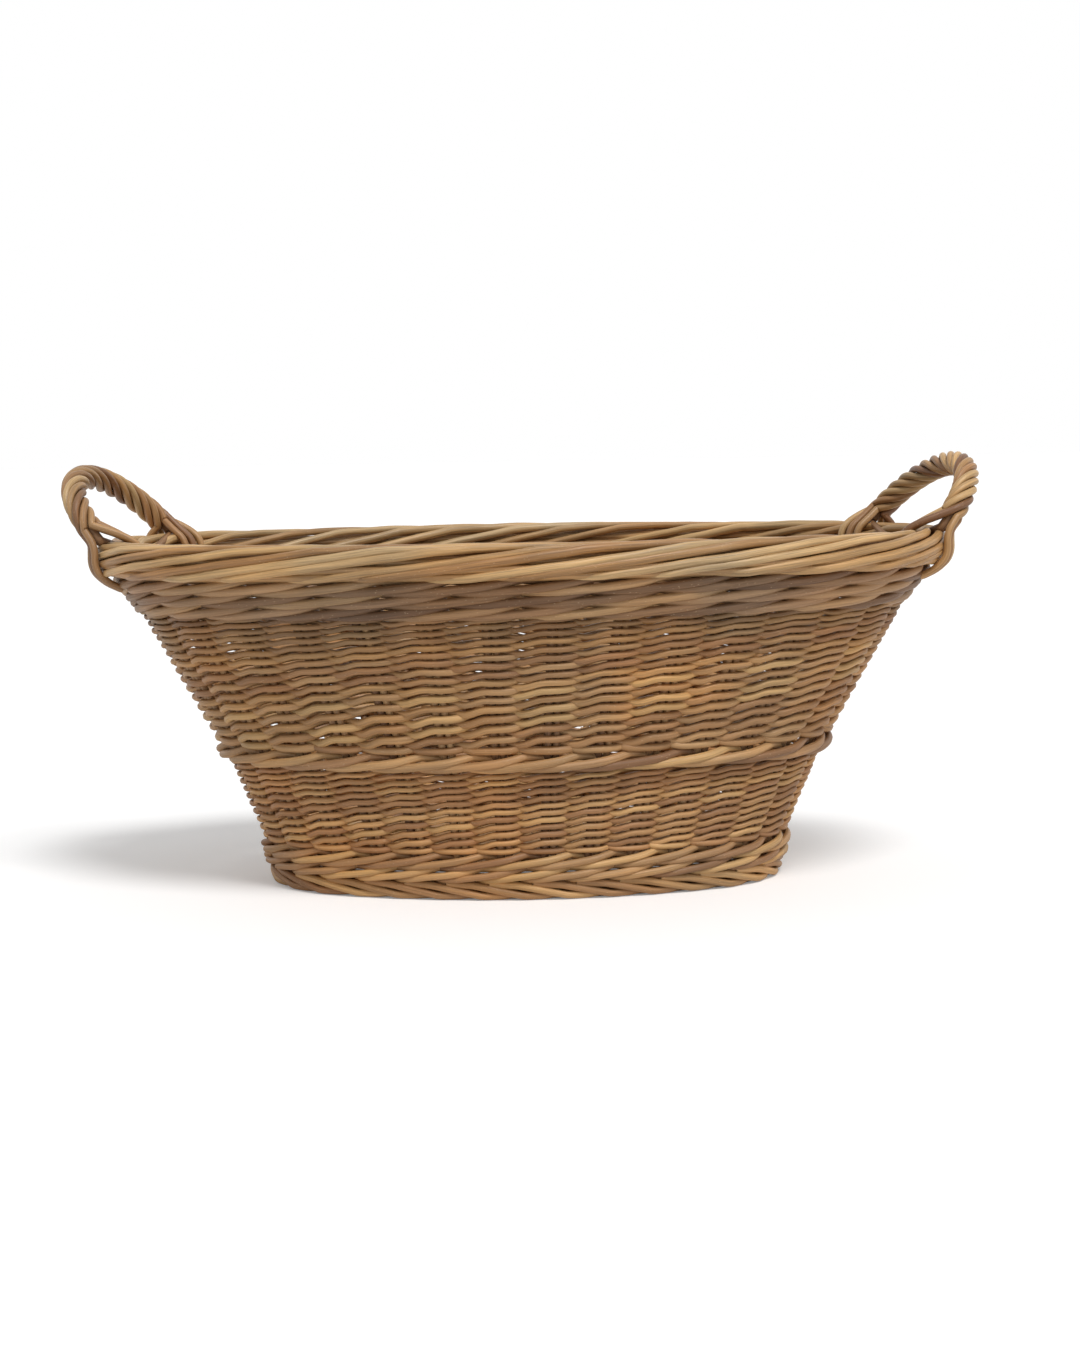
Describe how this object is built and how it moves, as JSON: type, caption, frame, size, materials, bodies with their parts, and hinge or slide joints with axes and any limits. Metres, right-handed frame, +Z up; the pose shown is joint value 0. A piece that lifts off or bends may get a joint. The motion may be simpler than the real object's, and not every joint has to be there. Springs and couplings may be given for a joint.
{
  "type": "oval willow basket",
  "caption": "Oval stake-and-strand willow basket with flaring sides, a woven foot, a rolled border and a rope-twisted handle at each end.",
  "frame": {"origin": "middle of the foot's underside, at the floor", "axes": "+X along the length, with a handle at each end; +Y across the width, away from the pictured side; +Z up"},
  "size_m": [0.7753, 0.46, 0.3562],
  "materials": {
    "willow_stick": "buff willow rod, faint sheen",
    "willow_binding": "buff willow rod, faint sheen",
    "willow_base": "buff willow rod, faint sheen",
    "willow_stake": "buff willow rod, faint sheen",
    "willow_foot": "buff willow rod, faint sheen",
    "willow_wale": "buff willow rod, faint sheen",
    "willow_siding": "buff willow rod, faint sheen",
    "willow_border": "buff willow rod, faint sheen",
    "willow_bow": "buff willow rod, faint sheen",
    "willow_handle": "buff willow rod, faint sheen"
  },
  "bodies": {
    "root": {"base_stick_long_1": "willow_stick", "base_stick_long_2": "willow_stick", "base_stick_long_3": "willow_stick", "base_stick_cross_1": "willow_stick", "base_stick_cross_2": "willow_stick", "base_stick_cross_3": "willow_stick", "base_stick_cross_4": "willow_stick", "base_stick_cross_5": "willow_stick", "slath_binding": "willow_binding", "base_weave": "willow_base", "stakes_right": "willow_stake", "bye_stakes_right": "willow_stake", "stakes_back": "willow_stake", "bye_stakes_back": "willow_stake", "stakes_left": "willow_stake", "bye_stakes_left": "willow_stake", "stakes_front": "willow_stake", "bye_stakes_front": "willow_stake", "foot_border": "willow_foot", "upsett_wale": "willow_wale", "lower_siding": "willow_siding", "middle_wale": "willow_wale", "upper_siding": "willow_siding", "top_wale": "willow_wale", "rim_border": "willow_border", "right_handle_bow": "willow_bow", "right_handle_strand_1": "willow_handle", "right_handle_strand_2": "willow_handle", "right_handle_strand_3": "willow_handle", "right_handle_strand_4": "willow_handle", "right_handle_strand_5": "willow_handle", "right_handle_strand_6": "willow_handle", "left_handle_bow": "willow_bow", "left_handle_strand_1": "willow_handle", "left_handle_strand_2": "willow_handle", "left_handle_strand_3": "willow_handle", "left_handle_strand_4": "willow_handle", "left_handle_strand_5": "willow_handle", "left_handle_strand_6": "willow_handle"}
  },
  "joints": []
}
